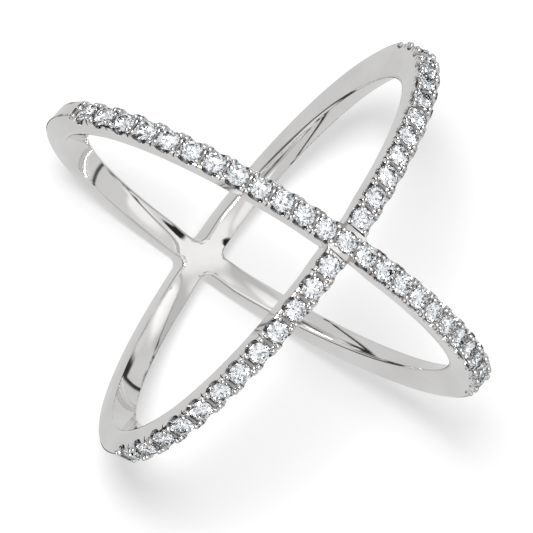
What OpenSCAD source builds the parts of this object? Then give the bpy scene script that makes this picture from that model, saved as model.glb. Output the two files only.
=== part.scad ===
// Crossover ring: two narrow bands that cross on top of the finger and again under it.
// Millimetres. The finger lies along Y, the ring stands on its lower crossing, and Z is up.

/* [Ring] */
// Inside diameter, round the finger
finger_d = 16.5; // [14:0.1:22]
// Thickness of the metal, outwards from the finger
wall = 1.55; // [1.4:0.05:2.2]
// Width of each band, measured across it
band_w = 1.5; // [1.45:0.05:2.2]
// Distance along the finger between the middles of a band's two turns
spread = 21.7; // [12:0.1:26]
// How far the outer face turns from the finger's roundness to that of the band's own plane
lean = 0.7; // [0:0.05:1]
// Rounding of the outer edges where the band is plain
outer_edge_r = 0.27; // [0.1:0.01:0.5]
// Rounding of the edges against the finger
inner_edge_r = 0.2; // [0.1:0.01:0.5]
// Rounding in the corners of the lower crossing
lower_fillet = 0.5; // [0.2:0.05:0.8]
// Length of the small flat under the lower crossing, on which the ring stands
foot_flat = 2.4; // [1.8:0.1:3]
// Rounding in the corners of the upper crossing
upper_fillet = 0.15; // [0.1:0.05:0.4]

/* [Stones] */
// Diameter of each round stone
stone_d = 1.26; // [1:0.02:1.34]
// Stones on each side of the upper crossing, in each row
stones_a_side = 12; // [4:1:12]
// Spacing of the row that runs over the upper crossing
long_pitch = 1.46; // [1.42:0.01:1.62]
// Spacing of the row that the crossing interrupts
cross_pitch = 1.56; // [1.46:0.01:1.66]
// From the stone on the crossing to the first stones of the interrupted row
cross_start = 1.71; // [1.6:0.01:1.9]
// Girdle thickness of a stone
girdle_h = 0.05; // [0.03:0.01:0.1]

/* [Setting] */
// Clearance between a stone and the metal
seat_gap = 0.03; // [0.02:0.01:0.06]
// Depth of the set strip below the plain surface
strip_depth = 0.12; // [0.05:0.01:0.25]
// How far a stone's girdle lies below the strip
stone_sink = 0.08; // [0:0.01:0.1]
// Rounding of the set strip's edges
strip_edge_r = 0.06; // [0.03:0.01:0.15]
// Metal left past the last stone of a row
strip_margin = 0.16; // [0.1:0.01:0.3]
// Diameter of a bead
bead_d = 0.3; // [0.2:0.01:0.34]
// Height of a bead above the strip
bead_h = 0.2; // [0.1:0.01:0.3]
// Distance between the two beads of a pair, along the band
bead_split = 0.36; // [0.35:0.01:0.42]
// Distance between the beads on one edge and those on the other
bead_spread = 1.02; // [0.96:0.02:1.1]

/* [Hidden] */
finger_r = finger_d / 2;
ring_r = finger_r + wall;
strip_r = ring_r - strip_depth;
reach = spread / 2;
// Height of the ring's centre over its foot
ring_z = sqrt(pow(ring_r, 2) - pow(foot_flat / 2, 2));
// Depth within which edges, strip and stones keep their shape
edge_zone = 0.6;
// How far the filled corners lie inside the bands' two surfaces
web_inset = 0.04;
stone_r = stone_d / 2;
bead_r = bead_d / 2;
// Top of a bead as a share of its foot, and how deep the foot is rooted
bead_top_share = 0.55;
bead_root = 0.05;

// Cut of a round brilliant, as shares of its diameter
table_share = 0.57;
crown_share = 0.15;
pavilion_share = 0.42;
crown_h = crown_share * stone_d;
pavilion_h = pavilion_share * stone_d;

// The two bands are mirror images, and each row follows its own
long_side = 1;
cross_side = -1;

// Faces round a stone, a bead, a corner of the section and the whole ring
stone_faces = 8;
bead_faces = 5;
corner_steps = 2;
ring_steps = 72;
fillet_faces = 24;
arc_steps = 24;

// Millimetres of band to a degree round the finger
function band_speed(t) = PI / 180 * norm([ring_r, reach * cos(t)]);

// Angle round the finger at a distance along the band from the upper crossing
function walk(t, step, left) =
    left == 0 ? t
    : let (middle = t + step / 2 / band_speed(t)) walk(t + step / band_speed(middle), step, left - 1);
function angle_at(distance) = walk(0, distance / arc_steps, arc_steps);

// Distances of the stones and of the gaps' middles along one arm of a row
function long_stone(i) = i * long_pitch;
function cross_stone(i) = cross_start + (i - 1) * cross_pitch;
long_end = long_stone(stones_a_side) + stone_r + strip_margin;
cross_end = cross_stone(stones_a_side) + stone_r + strip_margin;

// Middle of a band's outer face, and the directions along the band and away from the finger
function middle(side, t) = [ring_r * sin(t), side * reach * sin(t), ring_r * cos(t)];
function unit(v) = v / norm(v);
function along(side, t) = unit([ring_r * cos(t), side * reach * cos(t), -ring_r * sin(t)]);
function outwards(side, t) =
    let (own = unit([ring_r * sin(t), side * reach * sin(t), (pow(ring_r, 2) + pow(reach, 2)) / ring_r * cos(t)]))
        unit((1 - lean) * [sin(t), 0, cos(t)] + lean * own);

// Depth at which a line into the band meets the finger
function depth_to_finger(place, out) =
    let (p = [place.x, place.z], m = [out.x, out.z], pm = p * m, mm = m * m)
        (pm - sqrt(pow(pm, 2) - mm * (p * p - pow(finger_r, 2)))) / mm;

// A place on a band: angle round the finger, radius where the section is upright, and distance
// across the band. The outer part keeps its depth, and the inner part is drawn to the finger.
function on_band(side, t, r, across) =
    let (
        out = outwards(side, t),
        top = middle(side, t) + across * cross(out, along(side, t)),
        depth = ring_r - r,
        inner = max(0, depth - edge_zone) / (wall - edge_zone)
    )
        [0, 0, ring_z] + top - (depth + inner * (depth_to_finger(top, out) - wall)) * out;

// A corner of the section, as [radius, across] from its centre
function corner(r, across, edge_r, from) = [
    for (i = [0:corner_steps])
        let (a = from + 90 * i / corner_steps)
            [r + edge_r * cos(a), across + edge_r * sin(a)]
];

// Section of a band, plain or in the set strip
function section(outer_r, edge_r) =
    let (half = band_w / 2)
        concat(
            corner(outer_r - edge_r, half - edge_r, edge_r, 0),
            corner(finger_r + inner_edge_r, half - inner_edge_r, inner_edge_r, 90),
            corner(finger_r + inner_edge_r, -half + inner_edge_r, inner_edge_r, 180),
            corner(outer_r - edge_r, -half + edge_r, edge_r, 270)
        );
plain_section = section(ring_r, outer_edge_r);
strip_section = section(strip_r, strip_edge_r);

// Closed band: the set strip from -end to end over the top, and plain metal for the rest
module band(side, end) {
    top_steps = round(ring_steps * end / 180);
    // An odd number, so that the middle one lies level over the foot
    low_steps = 2 * floor((ring_steps - top_steps) / 2) + 1;
    stations = concat(
        [for (i = [0:top_steps]) [-end + 2 * end * i / top_steps, strip_section]],
        [for (i = [0:low_steps]) [end + (360 - 2 * end) * i / low_steps, plain_section]]
    );
    rings = len(stations);
    n = len(plain_section);
    points = [for (s = stations) for (p = s[1]) on_band(side, s[0], p[0], p[1])];
    faces = [
        for (i = [0:rings - 1]) for (j = [0:n - 1])
            [i * n + j, i * n + (j + 1) % n, (i + 1) % rings * n + (j + 1) % n, (i + 1) % rings * n + j]
    ];
    polyhedron(points, faces, convexity = 8);
}

// Puts a piece on the middle of a set strip: its X along the band, its Z away from the finger
module on_strip(side, distance) {
    t = angle_at(distance);
    up = outwards(side, t);
    ahead = along(side, t);
    over = cross(up, ahead);
    place = on_band(side, t, strip_r, 0);
    multmatrix([for (k = [0:2]) [ahead[k], over[k], up[k], place[k]]]) children();
}

// Round brilliant with its girdle just under the strip's surface, or its seat when made larger
module stone(extra = 0) {
    r = stone_r + extra;
    translate([0, 0, -stone_sink]) rotate(180 / stone_faces) hull() {
        cylinder(r1 = r, r2 = r * table_share, h = crown_h + extra, $fn = stone_faces);
        translate([0, 0, -girdle_h - pavilion_h - extra])
            cylinder(r1 = 0, r2 = r, h = pavilion_h + extra, $fn = stone_faces);
    }
}

// Bead of metal that holds a stone's edge
module bead() {
    translate([0, 0, -bead_root])
        cylinder(r1 = bead_r, r2 = bead_r * bead_top_share, h = bead_h + bead_root, $fn = bead_faces);
}

// One bead towards each edge of the band
module edge_beads(side, distance) {
    for (edge = [-1, 1])
        on_strip(side, distance) translate([0, edge * bead_spread / 2, 0]) bead();
}

// Both beads of each pair on one arm, half a space either side of each stone
module arm_beads(side, way, stones, pitch) {
    for (s = stones) for (before = [-1, 1])
        edge_beads(side, way * (s + before * (pitch - bead_split) / 2));
}

long_row = [for (i = [-stones_a_side:stones_a_side]) long_stone(i)];
cross_arm = [for (i = [1:stones_a_side]) cross_stone(i)];

// Filled corners where the bands cross, at the top of the finger
module crossing_web(fillet, outer_r) {
    own_share = lean * ring_r / (pow(ring_r, 2) + pow(reach, 2));
    inner_share = [1 - wall * ((1 - lean) / ring_r + own_share), 1 - wall * own_share];
    arm = band_w + fillet;
    intersection() {
        rotate([90, 0, 0]) difference() {
            cylinder(r = outer_r - web_inset, h = 4 * arm, center = true, $fn = ring_steps);
            cylinder(r = finger_r + web_inset, h = 5 * arm, center = true, $fn = ring_steps);
        }
        translate([0, 0, finger_r])
            linear_extrude(height = wall, scale = [1 / inner_share[0], 1 / inner_share[1]])
                scale(inner_share) intersection() {
                    circle(r = arm * 0.75, $fn = fillet_faces);
                    offset(r = -fillet, $fn = fillet_faces) offset(delta = fillet)
                        for (side = [-1, 1]) rotate(side * atan(reach / ring_r))
                            square([4 * arm, band_w], center = true);
                }
    }
}

module crossed_bands() {
    color("gainsboro") difference() {
        union() {
            band(long_side, angle_at(long_end));
            band(cross_side, angle_at(cross_end));
            translate([0, 0, ring_z]) crossing_web(upper_fillet, strip_r);
            translate([0, 0, ring_z]) rotate([0, 180, 0]) crossing_web(lower_fillet, ring_r);
            arm_beads(long_side, 1, long_row, long_pitch);
            for (way = [-1, 1]) arm_beads(cross_side, way, cross_arm, cross_pitch);
        }
        for (s = long_row) on_strip(long_side, s) stone(seat_gap);
        for (way = [-1, 1]) for (s = cross_arm) on_strip(cross_side, way * s) stone(seat_gap);
        translate([0, 0, -wall]) cube([2 * finger_d, 2 * spread, 2 * wall], center = true);
    }
}

module long_row_stones() {
    color("aliceblue") for (s = long_row) on_strip(long_side, s) stone();
}

module cross_row_stones() {
    color("aliceblue") for (way = [-1, 1]) for (s = cross_arm) on_strip(cross_side, way * s) stone();
}

crossed_bands();
long_row_stones();
cross_row_stones();
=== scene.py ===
"""Crossover ring in white gold, set with small round brilliants.

Sizes are in millimetres until a piece is finished, and then metres. The finger lies along Y,
the ring stands on its lower crossing and its set crossing is on top. The metal is drawn unrolled,
with X round the finger, Y along it and Z away from it, and is then bent round the finger.
"""

import json
import math
import random

import bmesh
import bpy
from mathutils import Matrix, Vector
from mathutils.kdtree import KDTree


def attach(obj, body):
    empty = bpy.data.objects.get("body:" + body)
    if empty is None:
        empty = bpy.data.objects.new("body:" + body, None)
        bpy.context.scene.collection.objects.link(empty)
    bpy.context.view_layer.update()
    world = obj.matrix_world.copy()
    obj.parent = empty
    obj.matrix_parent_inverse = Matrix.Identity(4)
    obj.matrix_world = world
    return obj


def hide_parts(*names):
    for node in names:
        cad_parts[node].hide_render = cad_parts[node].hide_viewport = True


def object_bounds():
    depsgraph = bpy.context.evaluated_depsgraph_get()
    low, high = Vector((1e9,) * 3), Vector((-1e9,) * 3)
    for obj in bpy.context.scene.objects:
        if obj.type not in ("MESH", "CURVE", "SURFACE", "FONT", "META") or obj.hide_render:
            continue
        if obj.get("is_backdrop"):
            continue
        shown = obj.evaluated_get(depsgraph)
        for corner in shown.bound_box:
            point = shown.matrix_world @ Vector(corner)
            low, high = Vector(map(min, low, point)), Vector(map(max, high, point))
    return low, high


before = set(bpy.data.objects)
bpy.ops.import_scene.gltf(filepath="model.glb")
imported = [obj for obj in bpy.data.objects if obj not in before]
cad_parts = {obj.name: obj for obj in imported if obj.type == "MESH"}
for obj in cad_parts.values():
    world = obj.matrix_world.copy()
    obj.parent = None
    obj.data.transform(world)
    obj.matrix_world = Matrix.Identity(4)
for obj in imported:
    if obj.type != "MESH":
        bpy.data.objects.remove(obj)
cad_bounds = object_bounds()

MM = 0.001
# Points nearer to each other than this are one, and so are numbers that agree to so many digits
NEAR = 1e-4
NEAR_DIGITS = 4

# The ring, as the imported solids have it
FINGER_R = 8.25
WALL = 1.55
BAND_W = 1.5
REACH = 10.85
FOOT_FLAT = 2.4
STRIP_DEPTH = 0.12
STRIP_MARGIN = 0.16
STRIP_EDGE_R = 0.06
UPPER_FILLET = 0.15
LOWER_FILLET = 0.5
# How far the outer face turns from the finger's roundness to that of the band's own plane
LEAN = 0.7
# Depth within which the outer part of the section keeps its shape
EDGE_ZONE = 0.6
RING_R = FINGER_R + WALL
RING_Z = math.sqrt(RING_R ** 2 - (FOOT_FLAT / 2) ** 2)
# Angle between a band and the way round the finger, where the bands cross
CROSSING_ANGLE = math.atan(REACH / RING_R)

# Rounder edges than the solids have, and how far the face against the finger is domed
OUTER_EDGE_R = 0.34
INNER_EDGE_R = 0.28
COMFORT_DOME = 0.14

# The rows of stones
STONE_R = 0.63
STONES_A_SIDE = 12
LONG_PITCH = 1.46
CROSS_PITCH = 1.56
CROSS_START = 1.71
STONE_SINK = 0.08
GIRDLE_H = 0.05
LONG_SIDE = 1
CROSS_SIDE = -1

# The seats, and the shape that trims the beads to the stones
SEAT_GAP = 0.03
SEAT_TOP = 0.6
SEAT_FOOT_R = 0.05
SEAT_SIDES = 24
TRIM_GAP = 0.015

# The beads, in pairs on each edge
BEAD_R = 0.15
BEAD_H = 0.2
BEAD_SPLIT = 0.35
BEAD_SPREAD = 0.97
BEAD_SIDES = 14
BEAD_ROWS = 8

# The scallops beside the stones, and the slits between the beads of a pair
SCALLOP_R = 0.5
SCALLOP_DEPTH = 0.34
SCALLOP_SIDES = 32
SLIT_R = 0.045
SLIT_DEPTH = 0.3
SLIT_LENGTH = 0.34
SLIT_SIDES = 10

# The slots each side of the upper crossing, and the hollows between stones
SLOT_AT = CROSS_START - CROSS_PITCH / 2
SLOT_LENGTH = 1.3
HOLLOW_R_ALONG = 0.2
HOLLOW_R_ACROSS = 0.5
HOLLOW_DEPTH = 0.18
HOLLOW_SIDES = 16
HOLLOW_ROWS = 8

# How strongly painted shade darkens the cuts, how far down it begins, and how far sideways their faces may
# look
SCALLOP_PAINTED_SHADE = 0.4
HOLLOW_PAINTED_SHADE = 1.0
MARK_TOP = 0.01
MARK_SIDEWAYS = 0.7

# Cut of a stone, as shares of its radius and slopes of its facets
TABLE_R = 0.57
STAR_TIP_R = 0.8
LOWER_TIP_R = 0.23
CROWN_SLOPE = math.tan(math.radians(34.5))
PAVILION_SLOPE = math.tan(math.radians(40.75))
MAINS = 8
MAIN_TURN = 2 * math.pi / MAINS
FLAT_ANGLE = math.radians(1)

# How finely the metal is drawn, and how level the normal of an upright face may be
COLUMNS = 8
FINE_STEP = 0.08
FINE_PAST_FILLET = 1.2
LONG_STEP = 0.33
EDGE_SEGMENTS = 5
UPRIGHT = 0.5
SMOOTH_ANGLE = math.radians(35)

# Steps of the sums along a band
WALK_STEPS = 24
LENGTH_SLICES = 400
NEAREST_STEPS = 6

# Distances from a crossing where the metal stops following it, and where it follows its own arm alone
HUB = 1.2
PAST_HUB = 3.0

# The gold: colours, features of its noise to the metre, and what each adds to its roughness
GOLD_DULL = (0.79, 0.78, 0.775)
GOLD_BRIGHT = (0.87, 0.86, 0.855)
# Painted shade: the darker colour of the scallops beside the stones and of the hollows between them
GOLD_PAINTED_SHADE_IN_CUTS = (0.4, 0.385, 0.375)
CLOUD_SCALE = 320
CLOUD_DETAIL = 3.0
CLOUD_SPAN = (0.3, 0.7)
POLISH_SCALE = 5200
POLISH_DETAIL = 2.0
POLISH_STRETCH = (1, 0.35, 1)
POLISH_BUMP = 0.05
POLISH_DEPTH = 0.000004
LEAST_ROUGHNESS = 0.03
CLOUD_ROUGHNESS = 0.04
POLISH_ROUGHNESS = 0.02
CUTS_ROUGHNESS = 0.15

# The stones
STONE_COLOR = (0.93, 0.965, 1.0)
STONE_IOR = 2.42

# The picture's view of the ring
IMAGE_SIDE = 533
CENTRE_X = 269.1
CENTRE_Y = 250.9
PIXELS_PER_RING_R = 175.75
VIEW_AZIMUTH = math.radians(4.3)
VIEW_ELEVATION = math.radians(63.45)
VIEW_ROLL = math.radians(-84.05)
VIEW_DISTANCE = 60 * RING_R
SENSOR = 36.0
CLIP_START = 0.01

# The floor, and the share of its own light in what the camera sees of it
FLOOR_HALF = 400
PAPER_COLOR = (0.9, 0.9, 0.9)
PAPER_ROUGHNESS = 0.7
PAPER_GLOW = 0.45
# Metres from the ring over which the floor fades in polished faces, its levels there, and in stones
LIT_SPAN = (0.032, 0.07)
LIT_LEVELS = (0.7, 0.04)
PAPER_IN_STONES = 0.9

# The room to the camera and the floor
WHITE_LEVEL = 0.46
# Its dark foot in polished faces, by the rise of a ray
FOOT_SPAN = (0.12, 0.3)
FOOT_LEVELS = (0.03, 0.76)
# Its light and dark patches in the stones
DAPPLE_SCALE = 4.2
DAPPLE_SPAN = (0.39, 0.47)
DAPPLE_LEVELS = (0.13, 1.23)

# Soft lights in polished faces: azimuth, elevation, core and edge in degrees, and strength
SOFT_LIGHTS = (
    (77, 63, 8, 20, 0.28),
    (154, 48, 8, 19, 0.38),
    (38, 37, 7, 18, 0.25),
    (118, 42, 10, 30, -0.2),
    (-60, 50, 10, 25, 0.3),
)

# Upright cards in polished faces: azimuth, foot, top and half width in degrees, and level
CARDS = (
    (20, -6, 26, 20, 0.68),
    (150, -6, 26, 11, 0.7),
    (74, 46, 57, 8, 0.02),
    (-115, 18, 34, 13, 0.04),
)
CARD_EDGE = 3

# The sun
SUN_LEVEL = 2.85
SUN_SOFTNESS = math.radians(17)
SUN_WAY = (0.37, 0.5, -1)


# Places on the bands

def band_speed(angle):
    """Millimetres of band to a radian round the finger."""
    return math.hypot(RING_R, REACH * math.cos(angle))


def angle_at(distance):
    """Angle round the finger at a distance along a band from the upper crossing."""
    step = distance / WALK_STEPS
    angle = 0.0
    for _ in range(WALK_STEPS):
        halfway = angle + step / 2 / band_speed(angle)
        angle += step / band_speed(halfway)
    return angle


def band_length(angle):
    """Length of a band from a crossing to an angle round the finger."""
    width = angle / LENGTH_SLICES
    return sum(band_speed((i + 0.5) * width) * width for i in range(LENGTH_SLICES))


HALF_BAND = band_length(math.pi)
long_row = [i * LONG_PITCH for i in range(-STONES_A_SIDE, STONES_A_SIDE + 1)]
cross_arm = [CROSS_START + i * CROSS_PITCH for i in range(STONES_A_SIDE)]
cross_row = [way * distance for way in (-1, 1) for distance in cross_arm]
SET_END = {
    LONG_SIDE: long_row[-1] + STONE_R + STRIP_MARGIN,
    CROSS_SIDE: cross_arm[-1] + STONE_R + STRIP_MARGIN,
}


def middle(side, angle):
    """Middle of a band's outer face, from the ring's centre."""
    return Vector((RING_R * math.sin(angle), side * REACH * math.sin(angle), RING_R * math.cos(angle)))


def band_frame(side, angle):
    """Directions along a band, across it and away from the finger."""
    ahead = Vector((
        RING_R * math.cos(angle), side * REACH * math.cos(angle), -RING_R * math.sin(angle)
    )).normalized()
    own = middle(side, angle)
    own.z *= 1 + (REACH / RING_R) ** 2
    own.normalize()
    out = Vector((math.sin(angle), 0, math.cos(angle))) * (1 - LEAN) + own * LEAN
    out.normalize()
    return ahead, out.cross(ahead), out


def strip_frame(side, distance):
    """Matrix of a place on a set strip: X along the band, Y across it, Z away from the finger."""
    angle = angle_at(distance)
    ahead, over, out = band_frame(side, angle)
    matrix = Matrix((ahead, over, out)).transposed().to_4x4()
    matrix.translation = middle(side, angle) - out * STRIP_DEPTH + Vector((0, 0, RING_Z))
    return matrix


# From the unrolled ring to the round one

def band_side(diagonal, turn):
    """Which band lies on a diagonal of a crossing: half a turn on, each lies on the other one."""
    return diagonal if turn == 0 else -diagonal


def depth_to_finger(place, out):
    """Depth at which a line into the band meets the finger."""
    p, m = Vector((place.x, place.z)), Vector((out.x, out.z))
    return (p @ m - math.sqrt((p @ m) ** 2 - m @ m * (p @ p - FINGER_R ** 2))) / (m @ m)


def nearest_on_arm(x, y, diagonal):
    """Angle of the place on an unrolled arm that is nearest to a point, and the distance across to it."""
    angle = x / RING_R
    for _ in range(NEAREST_STEPS):
        off_x, off_y = x - RING_R * angle, y - diagonal * REACH * math.sin(angle)
        speed_y = diagonal * REACH * math.cos(angle)
        bend = diagonal * REACH * math.sin(angle) * off_y
        angle += (off_x * RING_R + off_y * speed_y) / (RING_R ** 2 + speed_y ** 2 + bend)
    return angle, (off_y * RING_R - off_x * speed_y) / band_speed(angle)


def on_arm(x, y, z, turn):
    """A point of the unrolled ring, carried by the nearest place of its arm. The face against the
    finger falls back a little towards its edges."""
    diagonal = 1 if x * y > 0 else -1
    angle, across = nearest_on_arm(x, y, diagonal)
    side = band_side(diagonal, turn)
    _, over, out = band_frame(side, angle + turn)
    top = middle(side, angle + turn) + over * across
    inner = max(0, -z - EDGE_ZONE) / (WALL - EDGE_ZONE)
    deeper = depth_to_finger(top, out) - WALL - COMFORT_DOME * (2 * across / BAND_W) ** 2
    return top - out * (inner * deeper - z)


def bent(x, y, z, turn):
    """A point of the unrolled ring, bent round the finger: rolled in the crossing, then with its arm."""
    r = RING_R + z
    angle = x / RING_R + turn
    rolled = Vector((r * math.sin(angle), y, r * math.cos(angle)))
    share = min(max((math.hypot(x, y) - HUB) / (PAST_HUB - HUB), 0), 1)
    if share > 0:
        rolled = rolled.lerp(on_arm(x, y, z, turn), share ** 2 * (3 - 2 * share))
    return rolled + Vector((0, 0, RING_Z))


# Mesh helpers

def as_mesh(name, bm):
    """A finished bmesh as a mesh."""
    mesh = bpy.data.meshes.new(name)
    bm.to_mesh(mesh)
    bm.free()
    return mesh


def new_object(name, bm):
    """A finished bmesh as an object in the scene."""
    obj = bpy.data.objects.new(name, as_mesh(name, bm))
    bpy.context.scene.collection.objects.link(obj)
    return obj


def in_metres(obj):
    """Turns an object's millimetres into metres."""
    obj.data.transform(Matrix.Scale(MM, 4))
    return obj


def combine(obj, tools, operation):
    """Cuts a mesh from an object, or joins it on, and drops the tool."""
    tool = new_object("tool", tools)
    boolean = obj.modifiers.new("combine", "BOOLEAN")
    boolean.object = tool
    boolean.operation = operation
    boolean.solver = "MANIFOLD"
    depsgraph = bpy.context.evaluated_depsgraph_get()
    result = bpy.data.meshes.new_from_object(obj.evaluated_get(depsgraph))
    obj.modifiers.clear()
    obj.data = result
    bpy.data.objects.remove(tool)


def copies(make, matrices):
    """One bmesh holding a copy of a shape at each matrix."""
    shape = bmesh.new()
    make(shape)
    mesh = as_mesh("copies", shape)
    out = bmesh.new()
    for matrix in matrices:
        first = len(out.verts)
        out.from_mesh(mesh)
        out.verts.ensure_lookup_table()
        bmesh.ops.transform(out, matrix=matrix, verts=out.verts[first:])
    bpy.data.meshes.remove(mesh)
    return out


# The two halves of the metal, unrolled

def flat_point(diagonal, angle, offset):
    """A point at an offset to the left of a band's middle line, unrolled."""
    slope = Vector((RING_R, diagonal * REACH * math.cos(angle), 0)).normalized()
    place = Vector((RING_R * angle, diagonal * REACH * math.sin(angle), 0))
    return place + Vector((-slope.y, slope.x, 0)) * offset


def corner_gain(distance, fillet, half_notch):
    """How much a fillet widens an arm, at a distance from the corner along its edge."""
    tangent = fillet / math.tan(half_notch)
    if distance >= tangent:
        return 0.0
    return fillet - math.sqrt(fillet ** 2 - (tangent - max(distance, 0)) ** 2)


def corner_reach(fillet):
    """How far the middle of a crossing reaches into its corners, round the finger and along it."""
    half = BAND_W / 2
    return [
        half / share + fillet / share - fillet
        for share in (math.sin(CROSSING_ANGLE), math.cos(CROSSING_ANGLE))
    ]


def crossing_middle(bm, fillet):
    """The middle of a crossing, as a grid, and the edges from which each of its arms grows."""
    bmesh.ops.create_grid(bm, x_segments=COLUMNS, y_segments=COLUMNS, size=1)
    starts = {}
    for diagonal, way, axis, level in ((1, 1, 0, 1), (1, -1, 0, -1), (-1, -1, 1, 1), (-1, 1, 1, -1)):
        starts[diagonal, way] = [
            e for e in bm.edges if all(abs(v.co[axis] - level) < NEAR for v in e.verts)
        ]
    reach_x, reach_y = corner_reach(fillet)
    for v in bm.verts:
        p, q = v.co.x, v.co.y
        v.co = Vector((reach_x * (p - q) / 2, reach_y * (p + q) / 2, 0))
    return starts


def arm_stations(end, fillet):
    """Distances of an arm's rows from the crossing: fine along the fillet, then long to its end."""
    reach_x, reach_y = corner_reach(fillet)
    first = max(reach_x * math.cos(CROSSING_ANGLE), reach_y * math.sin(CROSSING_ANGLE)) + FINE_STEP
    steepest = max(math.tan(CROSSING_ANGLE), 1 / math.tan(CROSSING_ANGLE))
    smooth_from = BAND_W / 2 * steepest + fillet * FINE_PAST_FILLET
    stations = [first + i * FINE_STEP for i in range(math.ceil((smooth_from - first) / FINE_STEP))]
    last_fine = stations[-1]
    long_steps = math.ceil((end - last_fine) / LONG_STEP)
    return stations + [last_fine + (end - last_fine) * (i + 1) / long_steps for i in range(long_steps)]


def arm_offsets(diagonal, station, fillet):
    """Offsets of a row's points across its arm, with what the fillets add to its right and left."""
    half = BAND_W / 2
    notches = (CROSSING_ANGLE, math.pi / 2 - CROSSING_ANGLE)
    right, left = notches if diagonal == 1 else reversed(notches)
    offsets = [half * (2 * i / COLUMNS - 1) for i in range(COLUMNS + 1)]
    offsets[0] -= corner_gain(station - half / math.tan(right), fillet, right)
    offsets[-1] += corner_gain(station - half / math.tan(left), fillet, left)
    return offsets


def grow_arm(bm, edges, diagonal, way, end, fillet):
    """Extrudes an arm row by row, and gives the middle of its last row and the direction there."""
    for station in arm_stations(end, fillet):
        angle = way * angle_at(station)
        new = bmesh.ops.extrude_edge_only(bm, edges=edges)["geom"]
        edges = [g for g in new if isinstance(g, bmesh.types.BMEdge)]
        row = [g for g in new if isinstance(g, bmesh.types.BMVert)]
        across = flat_point(diagonal, angle, way) - flat_point(diagonal, angle, 0)
        row.sort(key=lambda v: v.co.dot(across))
        for v, offset in zip(row, arm_offsets(diagonal, station, fillet)):
            v.co = flat_point(diagonal, angle, way * offset)
    return flat_point(diagonal, angle, 0), across.cross(Vector((0, 0, 1)))


def lies_at(face, place, direction):
    """Whether a face lies across an arm at a place."""
    return all(
        abs((v.co - place).dot(direction)) < NEAR and (v.co - place).length < 2 * BAND_W
        for v in face.verts
    )


def give_wall(bm, top, arm_ends):
    """Draws a sheet down to the finger, and gives the faces at the arms' ends a material of their own."""
    new = bmesh.ops.extrude_face_region(bm, geom=bm.faces[:], use_keep_orig=True)["geom"]
    lower = [g for g in new if isinstance(g, bmesh.types.BMVert)]
    bmesh.ops.translate(bm, verts=lower, vec=(0, 0, -WALL - top))
    bmesh.ops.translate(bm, verts=bm.verts[:], vec=(0, 0, top))
    bmesh.ops.recalc_face_normals(bm, faces=bm.faces[:])
    for f in bm.faces:
        f.material_index = int(any(lies_at(f, *end) for end in arm_ends))


def round_edges(bm, level, radius):
    """Rounds the long edges at a level, and leaves those across the arms' ends."""
    edges = [
        e for e in bm.edges
        if all(abs(v.co.z - level) < NEAR for v in e.verts)
        and any(abs(f.normal.z) < UPRIGHT and f.material_index == 0 for f in e.link_faces)
    ]
    bmesh.ops.bevel(
        bm, geom=edges, offset=radius, segments=EDGE_SEGMENTS, affect="EDGES", profile=0.5, material=-1
    )


def half_cross(ends, top, fillet, edge_r, turn):
    """Four arms that meet at a crossing: drawn flat, given a wall, rounded, opened at their ends, bent."""
    bm = bmesh.new()
    arm_ends = []
    for (diagonal, way), edges in crossing_middle(bm, fillet).items():
        end = ends[band_side(diagonal, turn)]
        arm_ends.append(grow_arm(bm, edges, diagonal, way, end, fillet))
    give_wall(bm, top, arm_ends)
    round_edges(bm, top, edge_r)
    round_edges(bm, -WALL, INNER_EDGE_R)
    caps = [f for f in bm.faces if f.material_index == 1]
    bmesh.ops.delete(bm, geom=caps, context="FACES")
    bmesh.ops.bisect_plane(
        bm, geom=bm.verts[:] + bm.edges[:] + bm.faces[:], dist=NEAR,
        plane_co=(0, 0, -OUTER_EDGE_R), plane_no=(0, 0, 1),
    )
    for v in bm.verts:
        v.co = bent(v.co.x, v.co.y, v.co.z, turn)
    return bm


def ring_body():
    """The set upper half and the plain lower half, joined at the crisp ends of the set strips."""
    lower_ends = {side: HALF_BAND - SET_END[side] for side in SET_END}
    body = half_cross(SET_END, -STRIP_DEPTH, UPPER_FILLET, STRIP_EDGE_R, 0)
    plain = as_mesh("plain", half_cross(lower_ends, 0, LOWER_FILLET, OUTER_EDGE_R, math.pi))
    body.from_mesh(plain)
    bpy.data.meshes.remove(plain)
    bmesh.ops.remove_doubles(body, verts=body.verts[:], dist=NEAR)
    bmesh.ops.holes_fill(body, edges=[e for e in body.edges if e.is_boundary], sides=0)
    bmesh.ops.recalc_face_normals(body, faces=body.faces[:])
    for v in body.verts:
        v.co.z = max(v.co.z, 0)
    return body


# Tools that cut the strips, and the beads

def turned_hull(bm, rings):
    """Closed solid round an upright axis, through rings of a radius and a height."""
    for radius, height in rings:
        bmesh.ops.create_circle(
            bm, segments=SEAT_SIDES, radius=radius, matrix=Matrix.Translation((0, 0, height))
        )
    bmesh.ops.convex_hull(bm, input=bm.verts[:])
    bmesh.ops.dissolve_limit(bm, angle_limit=NEAR, verts=bm.verts[:], edges=bm.edges[:])


def seat_tool(bm):
    """Cone for a stone's pavilion, with a straight bore above it."""
    r = STONE_R + SEAT_GAP
    girdle = -STONE_SINK - GIRDLE_H - SEAT_GAP
    turned_hull(bm, ((r, SEAT_TOP), (r, girdle), (SEAT_FOOT_R, girdle - r * PAVILION_SLOPE)))


def trim_tool(bm):
    """Shape of a stone and a hair more, that trims the beads where they lap over its edge."""
    r = STONE_R + TRIM_GAP
    table_r = STONE_R * TABLE_R
    turned_hull(bm, (
        (r, -STONE_SINK),
        (r, -STONE_SINK - GIRDLE_H),
        (SEAT_FOOT_R, -STONE_SINK - r * PAVILION_SLOPE),
        (table_r, (r - table_r) * CROWN_SLOPE - STONE_SINK),
    ))


def rod_across(bm, r, y, z, length, sides):
    """Rod that lies across the band."""
    bmesh.ops.create_cone(
        bm, cap_ends=True, segments=sides, radius1=r, radius2=r, depth=length,
        matrix=Matrix.Translation((0, y, z)) @ Matrix.Rotation(math.pi / 2, 4, "X"),
    )


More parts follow.
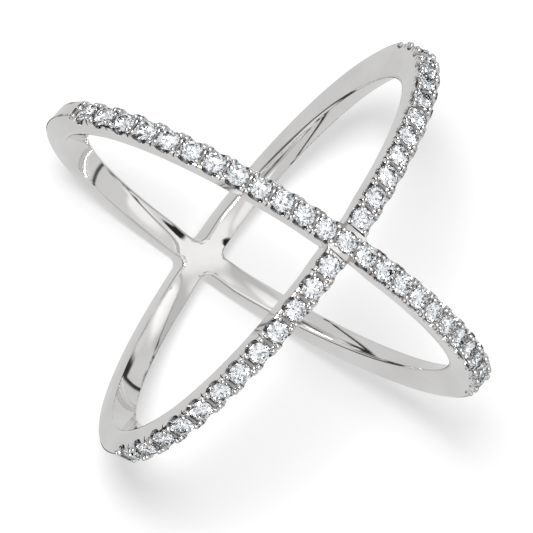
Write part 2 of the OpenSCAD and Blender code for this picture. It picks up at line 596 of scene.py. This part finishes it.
def narrow_cuts(bm, places, length):
    """Cuts across the band, much deeper than wide."""
    for y in places:
        rod_across(bm, SLIT_R, y, 0, length, SLIT_SIDES)
    for v in bm.verts:
        v.co.z *= SLIT_DEPTH / SLIT_R


def scallop_tool(bm):
    """Round cut right across the strip, which leaves a scallop in each edge beside a stone."""
    rod_across(bm, SCALLOP_R, 0, SCALLOP_R - SCALLOP_DEPTH, 2 * BAND_W, SCALLOP_SIDES)


def slit_tool(bm):
    """A slit into each edge, between the beads of a pair."""
    narrow_cuts(bm, (-BAND_W / 2, BAND_W / 2), SLIT_LENGTH)


def slot_tool(bm):
    """A slot across the band."""
    narrow_cuts(bm, (0,), SLOT_LENGTH)


def hollow_tool(bm):
    """Shallow hollow between two stones."""
    bmesh.ops.create_uvsphere(bm, u_segments=HOLLOW_SIDES, v_segments=HOLLOW_ROWS, radius=1)
    for v in bm.verts:
        v.co = Vector((v.co.x * HOLLOW_R_ALONG, v.co.y * HOLLOW_R_ACROSS, v.co.z * HOLLOW_DEPTH))


def bead_shape(bm):
    """Rounded bead on a post that runs down into the band."""
    bmesh.ops.create_uvsphere(bm, u_segments=BEAD_SIDES, v_segments=BEAD_ROWS, radius=BEAD_R)
    lift = BEAD_H - BEAD_R
    for v in bm.verts:
        v.co.z += lift if v.co.z > -NEAR else lift - SCALLOP_DEPTH - BEAD_R


# The metal

def gap_middles(row, pitch):
    """Distances half a space before and after each stone of a row, each once."""
    return sorted({round(s + way * pitch / 2, NEAR_DIGITS) for s in row for way in (-1, 1)})


def bead_places(side, row, pitch):
    """Two beads on each edge in every gap, half a pair past the ends."""
    near = (pitch - BEAD_SPLIT) / 2
    for s in row:
        for before in (-1, 1):
            for edge in (-1, 1):
                on_edge = Matrix.Translation((0, edge * BEAD_SPREAD / 2, 0))
                yield strip_frame(side, s + before * near) @ on_edge


def crossed_bands_metal():
    """Both bands, with the cuts, seats and beads of their set strips."""
    obj = new_object("crossed_bands_metal", ring_body())
    rows = ((LONG_SIDE, long_row, LONG_PITCH), (CROSS_SIDE, cross_row, CROSS_PITCH))
    gaps = [(side, s, pitch) for side, row, pitch in rows for s in gap_middles(row, pitch)]
    scallops = [strip_frame(side, s) for side, row, _ in rows for s in row if s]
    slits = [
        strip_frame(side, s) for side, s, pitch in gaps
        if BAND_W < abs(s) < SET_END[side] - pitch / 2
    ]
    hollows = [strip_frame(side, s) for side, s, _ in gaps if side == LONG_SIDE or abs(s) > SLOT_AT + NEAR]
    slots = [strip_frame(CROSS_SIDE, way * SLOT_AT) for way in (-1, 1)]
    seats = [strip_frame(side, s) for side, row, _ in rows for s in row]
    beads = [place for side, row, pitch in rows for place in bead_places(side, row, pitch)]
    for make, places, operation in (
        (scallop_tool, scallops, "DIFFERENCE"),
        (slit_tool, slits, "DIFFERENCE"),
        (hollow_tool, hollows, "DIFFERENCE"),
        (slot_tool, slots, "DIFFERENCE"),
        (seat_tool, seats, "DIFFERENCE"),
        (bead_shape, beads, "UNION"),
        (trim_tool, seats, "DIFFERENCE"),
    ):
        combine(obj, copies(make, places), operation)
    # Painted shade on the faces of the scallops and hollows
    paint_shade_in_cuts(obj, seats, hollows)
    in_metres(obj)
    obj.data.shade_smooth()
    obj.data.set_sharp_from_angle(angle=SMOOTH_ANGLE)
    obj.data.update()
    return obj


def paint_shade_in_cuts(obj, seats, hollows):
    """Marks the faces of the cuts beside each stone and of the hollows between stones, where the gold is
    darkened with painted shade.
    """
    marks = [0.0] * len(obj.data.polygons)
    for places, half_length, edge, depth, mark in (
        (seats, SCALLOP_R, BEAD_SPREAD / 2, SCALLOP_DEPTH, SCALLOP_PAINTED_SHADE),
        (hollows, HOLLOW_R_ALONG, 0, HOLLOW_DEPTH, HOLLOW_PAINTED_SHADE),
    ):
        tree = KDTree(len(places))
        for i, place in enumerate(places):
            tree.insert(place.translation, i)
        tree.balance()
        inverses = [place.inverted() for place in places]
        for f in obj.data.polygons:
            _, i, away = tree.find(f.center)
            if away > BAND_W:
                continue
            at, facing = inverses[i] @ f.center, inverses[i].to_3x3() @ f.normal
            beside = abs(at.x) < half_length and abs(at.y) > edge and abs(facing.y) < MARK_SIDEWAYS
            if beside and -depth - NEAR < at.z < -MARK_TOP:
                marks[f.index] = mark
    # How much painted shade each face gets, read by the gold's colour
    cuts = obj.data.attributes.new("cuts", "FLOAT", "FACE")
    cuts.data.foreach_set("value", marks)


# Stones

def facet_ring(bm, radius, height, count, turn):
    """A ring of facet corners, in shares of a stone's radius."""
    bmesh.ops.create_circle(
        bm, segments=count, radius=radius * STONE_R,
        matrix=Matrix.Translation((0, 0, height * STONE_R)) @ Matrix.Rotation(turn, 4, "Z"),
    )


def brilliant(bm):
    """Round brilliant: table, stars, kites and halves over a girdle, and a pavilion under it."""
    girdle = GIRDLE_H / STONE_R
    between_mains = MAIN_TURN / 2
    inset = math.cos(between_mains)
    lower_tips = -girdle - (1 - LOWER_TIP_R * inset) * PAVILION_SLOPE
    facet_ring(bm, TABLE_R, (1 - TABLE_R) * CROWN_SLOPE, MAINS, 0)
    facet_ring(bm, STAR_TIP_R, (1 - STAR_TIP_R * inset) * CROWN_SLOPE, MAINS, between_mains)
    facet_ring(bm, 1, 0, 2 * MAINS, 0)
    facet_ring(bm, 1, -girdle, 2 * MAINS, 0)
    facet_ring(bm, LOWER_TIP_R, lower_tips, MAINS, between_mains)
    bmesh.ops.create_vert(bm, co=(0, 0, (-girdle - PAVILION_SLOPE) * STONE_R))
    bmesh.ops.convex_hull(bm, input=bm.verts[:])
    bmesh.ops.dissolve_limit(bm, angle_limit=FLAT_ANGLE, verts=bm.verts[:], edges=bm.edges[:])
    bmesh.ops.translate(bm, verts=bm.verts[:], vec=(0, 0, -STONE_SINK))


def stone_row(name, side, row):
    """A row of stones, each turned its own way in its seat."""
    draw = random.Random(name)
    places = [strip_frame(side, s) @ Matrix.Rotation(draw.uniform(0, MAIN_TURN), 4, "Z") for s in row]
    obj = in_metres(new_object(name, copies(brilliant, places)))
    obj.data.shade_flat()
    return obj


# Materials

class Value:
    """A varying number of a material, on which arithmetic adds Math nodes."""

    def __init__(self, finish, socket):
        self.finish = finish
        self.socket = socket

    def __add__(self, other):
        return self.finish.math("ADD", self, other)

    __radd__ = __add__

    def __sub__(self, other):
        return self.finish.math("SUBTRACT", self, other)

    def __rsub__(self, other):
        return self.finish.math("SUBTRACT", other, self)

    def __mul__(self, other):
        return self.finish.math("MULTIPLY", self, other)

    __rmul__ = __mul__


class Finish:
    """The nodes of a material or of the world."""

    def __init__(self, owner):
        owner.use_nodes = True
        self.owner = owner
        self.tree = owner.node_tree

    def node(self, kind, settings=None, inputs=None, output=0):
        """Adds a node: its settings, then the values or links of its sockets."""
        node = self.tree.nodes.new(kind)
        for name, value in (settings or {}).items():
            setattr(node, name, value)
        self.feed(node, inputs or {})
        return Value(self, node.outputs[output])

    def feed(self, node, inputs):
        """Sets or links a node's sockets, by name or number."""
        for name, value in inputs.items():
            if isinstance(value, Value):
                self.tree.links.new(value.socket, node.inputs[name])
            else:
                node.inputs[name].default_value = value

    def math(self, operation, *terms):
        """A number worked out from others."""
        return self.node("ShaderNodeMath", {"operation": operation}, dict(enumerate(terms)))

    def noise(self, scale, detail, stretch=(1, 1, 1)):
        """Noise in the piece's own place, at features to the metre."""
        place = self.node("ShaderNodeTexCoord", output="Object")
        place = self.node("ShaderNodeMapping", inputs={"Vector": place, "Scale": stretch})
        return self.node("ShaderNodeTexNoise", inputs={"Vector": place, "Scale": scale, "Detail": detail})

    def between(self, share, low, high):
        """A colour between two others, through the colour sockets of a Mix node."""
        ends = [end if isinstance(end, Value) else (*end, 1) for end in (low, high)]
        return self.node("ShaderNodeMix", {"data_type": "RGBA"}, {0: share, 6: ends[0], 7: ends[1]}, 2)

    def span(self, value, low, high, to_low=0.0, to_high=1.0):
        """A number moved smoothly from one range to another."""
        return self.node(
            "ShaderNodeMapRange", {"interpolation_type": "SMOOTHSTEP"},
            {0: value, 1: low, 2: high, 3: to_low, 4: to_high},
        )


def new_material(name, **sockets):
    """A material whose sockets are the same all over."""
    finish = Finish(bpy.data.materials.new(name))
    settings = {key.replace("_", " "): value for key, value in sockets.items()}
    finish.feed(finish.tree.nodes["Principled BSDF"], settings)
    return finish


def white_gold_finish():
    """Polished metal with faint clouding and hairline polishing marks, rougher in the cuts and darkened
    there with painted shade.
    """
    gold = new_material("white_gold", Metallic=1.0)
    cloud = gold.span(gold.noise(CLOUD_SCALE, CLOUD_DETAIL), *CLOUD_SPAN)
    polish = gold.noise(POLISH_SCALE, POLISH_DETAIL, POLISH_STRETCH)
    cuts = gold.node("ShaderNodeAttribute", {"attribute_name": "cuts"}, output="Fac")
    # The cuts beside and between the stones take a darker colour: painted shade
    color = gold.between(cuts, gold.between(cloud, GOLD_DULL, GOLD_BRIGHT), GOLD_PAINTED_SHADE_IN_CUTS)
    rough = LEAST_ROUGHNESS + CLOUD_ROUGHNESS * cloud + POLISH_ROUGHNESS * polish + CUTS_ROUGHNESS * cuts
    bump = gold.node(
        "ShaderNodeBump", inputs={"Strength": POLISH_BUMP, "Distance": POLISH_DEPTH, "Height": polish}
    )
    gold.feed(gold.tree.nodes["Principled BSDF"], {"Base Color": color, "Roughness": rough, "Normal": bump})
    return gold.owner


def diamond_finish():
    """Clear stone: it bends and throws back what is round it."""
    return new_material(
        "diamond", Base_Color=(*STONE_COLOR, 1), Roughness=0.0, IOR=STONE_IOR, Transmission_Weight=1.0
    ).owner


def dress(obj, material, slot, *nodes):
    """Gives a piece its material and its place in the model."""
    obj.data.materials.clear()
    obj.data.materials.append(material)
    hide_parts(*nodes)
    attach(obj, "root")


# Stage

def place_camera():
    """Camera at the picture's view of the ring, which keeps colours as they are."""
    forward = Vector((
        math.sin(VIEW_AZIMUTH) * math.cos(VIEW_ELEVATION),
        math.cos(VIEW_AZIMUTH) * math.cos(VIEW_ELEVATION),
        -math.sin(VIEW_ELEVATION),
    ))
    level_right = forward.cross(Vector((0, 0, 1))).normalized()
    level_up = level_right.cross(forward)
    up = level_up * math.cos(VIEW_ROLL) + level_right * math.sin(VIEW_ROLL)
    right = forward.cross(up)
    scale = RING_R / PIXELS_PER_RING_R
    aim = Vector((0, 0, RING_Z))
    aim -= right * (CENTRE_X - IMAGE_SIDE / 2) * scale
    aim += up * (CENTRE_Y - IMAGE_SIDE / 2) * scale
    data = bpy.data.cameras.new("camera")
    data.sensor_width = SENSOR
    data.lens = SENSOR * PIXELS_PER_RING_R * VIEW_DISTANCE / RING_R / IMAGE_SIDE
    data.clip_start = CLIP_START
    camera = bpy.data.objects.new("camera", data)
    matrix = Matrix((right, up, -forward)).transposed().to_4x4()
    matrix.translation = (aim - forward * VIEW_DISTANCE) * MM
    camera.matrix_world = matrix
    bpy.context.scene.collection.objects.link(camera)
    bpy.context.scene.camera = camera
    bpy.context.scene.view_settings.view_transform = "Standard"


def ray_shares(finish):
    """How much something is seen by way of polished metal, through a stone and directly."""
    through = finish.node("ShaderNodeLightPath", output="Is Transmission Ray")
    glossy = finish.node("ShaderNodeLightPath", output="Is Glossy Ray")
    mirrored = glossy * (1 - through)
    return mirrored, through, 1 - mirrored - through


def place_floor():
    """Plain white paper that glows a little, so that the shadows on it stay light. Polished faces see
    it as a small lit sheet in a dark room, and the stones see it white."""
    bm = bmesh.new()
    bmesh.ops.create_grid(bm, x_segments=1, y_segments=1, size=FLOOR_HALF)
    floor = in_metres(new_object("floor", bm))
    paper = new_material("floor_white", Base_Color=(*PAPER_COLOR, 1), Roughness=PAPER_ROUGHNESS)
    mirrored, through, direct = ray_shares(paper)
    place = paper.node("ShaderNodeTexCoord", output="Object")
    away = paper.node("ShaderNodeVectorMath", {"operation": "LENGTH"}, {0: place}, "Value")
    sheet = paper.span(away, *LIT_SPAN, *LIT_LEVELS)
    level = mirrored * sheet + through * PAPER_IN_STONES + direct
    glow = paper.node("ShaderNodeEmission", inputs={"Color": level})
    lit = Value(paper, paper.tree.nodes["Principled BSDF"].outputs[0])
    glowing = mirrored + through + direct * PAPER_GLOW
    surface = paper.node("ShaderNodeMixShader", inputs={0: glowing, 1: lit, 2: glow})
    paper.feed(paper.tree.nodes["Material Output"], {"Surface": surface})
    floor.data.materials.append(paper.owner)
    floor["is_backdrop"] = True


def soft_light(room, ray, azimuth, elevation, core, edge, strength):
    """Round light, full inside its core and fading to its edge."""
    a, e = math.radians(azimuth), math.radians(elevation)
    axis = (math.cos(a) * math.cos(e), math.sin(a) * math.cos(e), math.sin(e))
    nearness = room.node("ShaderNodeVectorMath", {"operation": "DOT_PRODUCT"}, {0: ray, 1: axis}, "Value")
    return room.span(nearness, math.cos(math.radians(edge)), math.cos(math.radians(core)), 0.0, strength)


def within(room, angle, centre, half):
    """One inside half an opening either side of its centre, fading to nothing past it."""
    off = room.math("ABSOLUTE", angle - math.radians(centre))
    return room.span(off, math.radians(half), math.radians(half + CARD_EDGE), 1.0, 0.0)


def place_world():
    """Even white to the camera and the floor, a room with a dark foot, soft lights and cards to
    polished faces, and a dappled room to the stones."""
    world = bpy.data.worlds.new("studio")
    bpy.context.scene.world = world
    room = Finish(world)
    ray = room.node("ShaderNodeTexCoord", output="Generated")
    x, y, z = (room.node("ShaderNodeSeparateXYZ", inputs={0: ray}, output=axis) for axis in "XYZ")
    light = room.span(z, *FOOT_SPAN, *FOOT_LEVELS)
    for row in SOFT_LIGHTS:
        light = light + soft_light(room, ray, *row)
    bearing, rise = room.math("ARCTAN2", y, x), room.math("ARCSINE", z)
    for azimuth, foot, top, half_width, level in CARDS:
        beside = within(room, bearing, azimuth, half_width)
        card = beside * within(room, rise, (foot + top) / 2, (top - foot) / 2)
        light = light + card * (level - light)
    patches = room.node("ShaderNodeTexNoise", inputs={"Vector": ray, "Scale": DAPPLE_SCALE})
    dapple = room.span(patches, *DAPPLE_SPAN, *DAPPLE_LEVELS)
    mirrored, through, direct = ray_shares(room)
    seen = mirrored * light + through * dapple + direct * WHITE_LEVEL
    room.feed(room.tree.nodes["Background"], {"Color": seen, "Strength": 1.0})


def place_sun():
    """Wide soft sun, which throws the ring's shadows."""
    light = bpy.data.lights.new("sun", "SUN")
    light.energy = SUN_LEVEL
    light.angle = SUN_SOFTNESS
    obj = bpy.data.objects.new("sun", light)
    obj.rotation_euler = Vector(SUN_WAY).to_track_quat("-Z", "Y").to_euler()
    bpy.context.scene.collection.objects.link(obj)


place_camera()
white_gold = white_gold_finish()
diamond = diamond_finish()
dress(crossed_bands_metal(), white_gold, "white_gold", "crossed_bands")
dress(stone_row("long_row_brilliants", LONG_SIDE, long_row), diamond, "diamond", "long_row_stones")
dress(stone_row("cross_row_brilliants", CROSS_SIDE, cross_row), diamond, "diamond", "cross_row_stones")
place_floor()
place_world()
place_sun()

for bounds in (cad_bounds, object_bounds()):
    json.dumps([list(corner) for corner in bounds]) + "\n"
